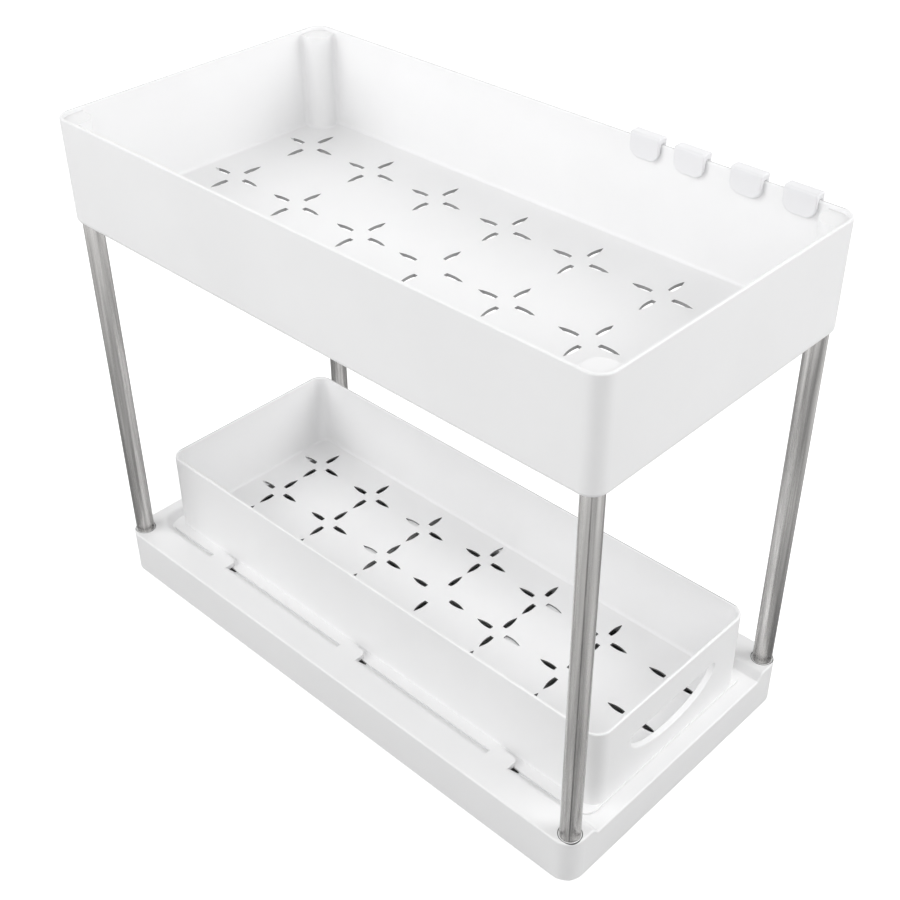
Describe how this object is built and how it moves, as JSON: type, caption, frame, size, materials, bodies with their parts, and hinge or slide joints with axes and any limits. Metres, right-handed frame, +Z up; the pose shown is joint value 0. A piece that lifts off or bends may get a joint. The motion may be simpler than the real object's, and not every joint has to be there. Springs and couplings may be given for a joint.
{
  "type": "under sink organizer",
  "caption": "Under sink organizer with a pierced tray on steel posts over a base with a pull-out drawer, and lift-off hooks along one long side.",
  "frame": {"origin": "middle of the footprint's bounding box, hooks counted, at the undersides of the foot pads", "axes": "+Z up, Y along the length with the drawer's front at -Y, X across with the hooks on +X"},
  "size_m": [0.2214, 0.4, 0.3392],
  "materials": {
    "white_plastic": "satin moulded polypropylene",
    "hook_plastic": "satin moulded polypropylene",
    "stainless_tube": "brushed lengthwise",
    "pad_rubber": "matt"
  },
  "bodies": {
    "stand": {"upper_tray": "white_plastic", "base_frame": "white_plastic", "tube_front_left": "stainless_tube", "tube_front_right": "stainless_tube", "tube_rear_left": "stainless_tube", "tube_rear_right": "stainless_tube", "foot_pad_front_left": "pad_rubber", "foot_pad_front_right": "pad_rubber", "foot_pad_rear_left": "pad_rubber", "foot_pad_rear_right": "pad_rubber"},
    "drawer": {"drawer": "white_plastic"},
    "hook_1_body": {"hook_1": "hook_plastic"},
    "hook_2_body": {"hook_2": "hook_plastic"},
    "hook_3_body": {"hook_3": "hook_plastic"},
    "hook_4_body": {"hook_4": "hook_plastic"}
  },
  "joints": [
    {"name": "drawer_slide", "type": "slide", "parent": "stand", "child": "drawer", "axis": [0, -1, 0], "range_m": [0, 0.24]},
    {"name": "hook_1_lift", "type": "slide", "parent": "stand", "child": "hook_1_body", "axis": [0, 0, 1], "range_m": [0, 0.05]},
    {"name": "hook_2_lift", "type": "slide", "parent": "stand", "child": "hook_2_body", "axis": [0, 0, 1], "range_m": [0, 0.05]},
    {"name": "hook_3_lift", "type": "slide", "parent": "stand", "child": "hook_3_body", "axis": [0, 0, 1], "range_m": [0, 0.05]},
    {"name": "hook_4_lift", "type": "slide", "parent": "stand", "child": "hook_4_body", "axis": [0, 0, 1], "range_m": [0, 0.05]}
  ]
}
